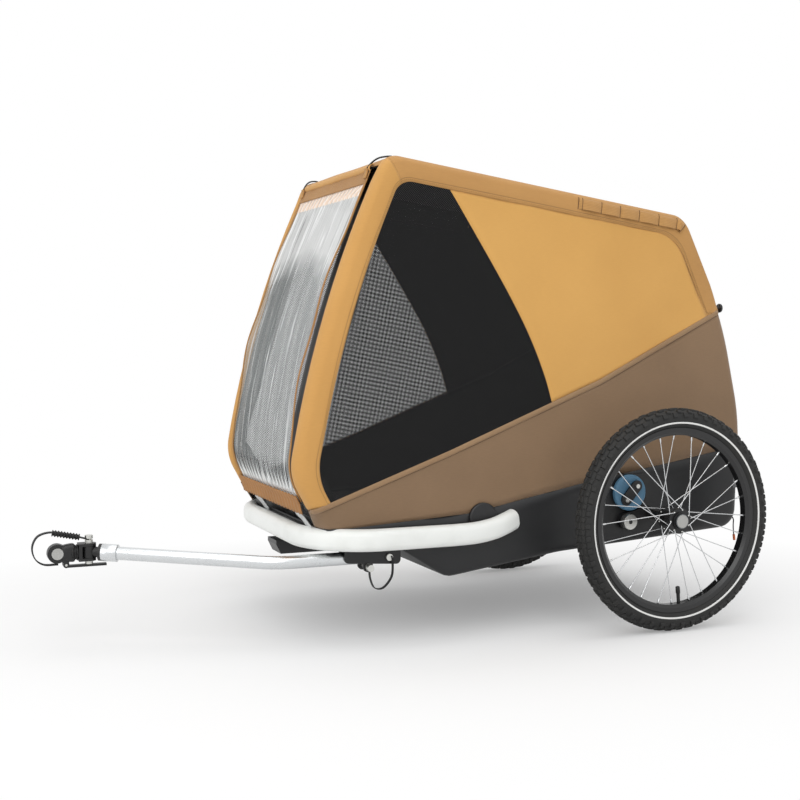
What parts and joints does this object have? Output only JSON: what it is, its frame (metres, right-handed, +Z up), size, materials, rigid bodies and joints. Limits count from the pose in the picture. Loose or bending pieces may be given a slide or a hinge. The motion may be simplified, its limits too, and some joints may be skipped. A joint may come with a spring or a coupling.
{
  "type": "dog bike trailer",
  "caption": "Two-wheeled dog trailer for a bicycle: cloth cabin with mesh windows on folding bows, sprung wheels, bumper and side drawbar with swivel hitch.",
  "frame": {"origin": "middle of the whole trailer on the ground, pull cord left out", "axes": "+X forward to the bicycle, +Y to the left where the drawbar is, +Z up"},
  "size_m": [1.6522, 0.8696, 1.0481],
  "materials": {
    "tyre_rubber": "matte black moulded tread with a pale reflective ring",
    "tube_rubber": "smooth black rubber",
    "rim_black": "black anodised satin",
    "spoke_steel": "bright drawn wire",
    "hub_grey": "dark grey satin",
    "bearing_steel": "ground steel",
    "axle_steel": "zinc plated",
    "button_grey": "grey moulded plastic",
    "arm_black": "black glass-filled plastic",
    "elastomer_blue": "blue rubber, satin",
    "bolt_zinc": "zinc plated",
    "tub_black": "black coated cloth on a stiff shell",
    "skirt_brown": "brown coated polyester weave",
    "panel_tan": "tan polyester weave",
    "band_tan": "darker tan polyester weave",
    "window_mesh": "black open mesh",
    "cover_pane": "clear flexible film with creases",
    "frame_alloy": "plain extruded alloy",
    "floor_board": "black faced board",
    "hinge_black": "black moulded plastic",
    "bumper_white": "white powder coat",
    "cap_black": "black moulded plastic",
    "drawbar_silver": "silver anodised",
    "receiver_black": "black powder coat",
    "webbing_black": "black webbing",
    "boot_rubber": "ribbed black rubber",
    "cord_black": "black elastic braid",
    "tip_orange": "orange moulded plastic"
  },
  "bodies": {
    "root": {"left_elastomer": "elastomer_blue", "right_elastomer": "elastomer_blue", "suspension_brackets": "hinge_black", "pivot_bolts": "bolt_zinc", "elastomer_clamps": "arm_black", "clamp_bolts": "bolt_zinc", "tub": "tub_black", "side_skirts": "skirt_brown", "side_panels": "panel_tan", "side_windows": "window_mesh", "front_bands": "band_tan", "roof_bands": "band_tan", "roof_panel": "panel_tan", "rear_panel": "skirt_brown", "chassis_frame": "frame_alloy", "floor_board": "floor_board", "hinge_knuckles": "hinge_black", "hinge_pins": "bolt_zinc", "bumper": "bumper_white", "bumper_standoffs": "cap_black", "side_caps": "cap_black", "stroller_socket": "cap_black", "drawbar": "drawbar_silver", "receiver": "receiver_black", "receiver_bolt": "bolt_zinc", "pin_tether": "webbing_black", "hitch_neck": "receiver_black", "pull_cord": "cord_black", "cord_tip": "tip_orange", "cover_knobs": "cap_black"},
    "rear_bow": {"rear_hoop": "frame_alloy"},
    "front_bow": {"front_hoop": "frame_alloy"},
    "cover": {"front_cover": "band_tan", "front_pane": "cover_pane"},
    "pull_pin": {"locking_pin": "bolt_zinc"},
    "hitch": {"hitch_head": "receiver_black", "hitch_boot": "boot_rubber", "hitch_pins": "bolt_zinc", "safety_strap": "webbing_black", "strap_sleeve": "boot_rubber"},
    "hitch_push": {"hitch_button": "button_grey"},
    "hitch_catch": {"hitch_lever": "receiver_black"},
    "left_arm": {"left_swing_arm": "arm_black", "left_axle": "axle_steel"},
    "left_wheel": {"left_tyre": "tyre_rubber", "left_inner_tube": "tube_rubber", "left_rim": "rim_black", "left_spokes": "spoke_steel", "left_hub_shell": "hub_grey", "left_hub_bearings": "bearing_steel"},
    "left_push": {"left_hub_button": "button_grey"},
    "right_arm": {"right_swing_arm": "arm_black", "right_axle": "axle_steel"},
    "right_wheel": {"right_tyre": "tyre_rubber", "right_inner_tube": "tube_rubber", "right_rim": "rim_black", "right_spokes": "spoke_steel", "right_hub_shell": "hub_grey", "right_hub_bearings": "bearing_steel"},
    "right_push": {"right_hub_button": "button_grey"}
  },
  "joints": [
    {"name": "rear_hoop_fold", "type": "hinge", "parent": "root", "child": "rear_bow", "pos_m": [-0.78493, 0, 0.3], "axis": [0, -1, 0], "range_deg": [-74, 0]},
    {"name": "front_hoop_fold", "type": "hinge", "parent": "root", "child": "front_bow", "pos_m": [0.28507, 0, 0.398], "axis": [0, 1, 0], "range_deg": [-68, 0]},
    {"name": "front_cover_lift", "type": "hinge", "parent": "root", "child": "cover", "pos_m": [0.11157, 0, 1.0303], "axis": [0, -1, 0], "range_deg": [0, 110]},
    {"name": "left_suspension", "type": "hinge", "parent": "root", "child": "left_arm", "pos_m": [-0.48493, 0.3, 0.239], "axis": [0, 1, 0], "range_deg": [-4, 14], "stiffness_Nm_per_rad": 150, "springref_deg": -2.18, "deforming": ["left_elastomer"]},
    {"name": "left_wheel_spin", "type": "hinge", "parent": "left_arm", "child": "left_wheel", "pos_m": [-0.54493, 0.4, 0.253], "axis": [0, 1, 0], "continuous": true},
    {"name": "left_hub_button", "type": "slide", "parent": "left_arm", "child": "left_push", "axis": [0, -1, 0], "range_m": [0, 0.004], "stiffness_N_per_m": 300, "springref_m": -0.002},
    {"name": "right_suspension", "type": "hinge", "parent": "root", "child": "right_arm", "pos_m": [-0.48493, -0.3, 0.239], "axis": [0, 1, 0], "range_deg": [-4, 14], "stiffness_Nm_per_rad": 150, "springref_deg": -2.18, "deforming": ["right_elastomer"]},
    {"name": "right_wheel_spin", "type": "hinge", "parent": "right_arm", "child": "right_wheel", "pos_m": [-0.54493, -0.4, 0.253], "axis": [0, 1, 0], "continuous": true},
    {"name": "right_hub_button", "type": "slide", "parent": "right_arm", "child": "right_push", "axis": [0, 1, 0], "range_m": [0, 0.004], "stiffness_N_per_m": 300, "springref_m": -0.002},
    {"name": "locking_pin_pull", "type": "slide", "parent": "root", "child": "pull_pin", "axis": [0, 1, 0], "range_m": [0, 0.05], "deforming": ["pin_tether"]},
    {"name": "hitch_yaw", "type": "hinge", "parent": "root", "child": "hitch", "pos_m": [0.70107, 0.068, 0.208], "axis": [0, 0, 1], "range_deg": [-60, 60]},
    {"name": "hitch_button_push", "type": "slide", "parent": "hitch", "child": "hitch_push", "axis": [0, -1, 0], "range_m": [0, 0.003], "stiffness_N_per_m": 300, "springref_m": -0.002},
    {"name": "hitch_lever_drop", "type": "hinge", "parent": "hitch", "child": "hitch_catch", "pos_m": [0.74907, 0.068, 0.183], "axis": [0, -1, 0], "range_deg": [0, 35], "stiffness_Nm_per_rad": 0.5, "springref_deg": -17.19}
  ],
  "couplings": [
    {"joint": "front_hoop_fold", "follows": "rear_hoop_fold", "ratio": 0.9054}
  ]
}
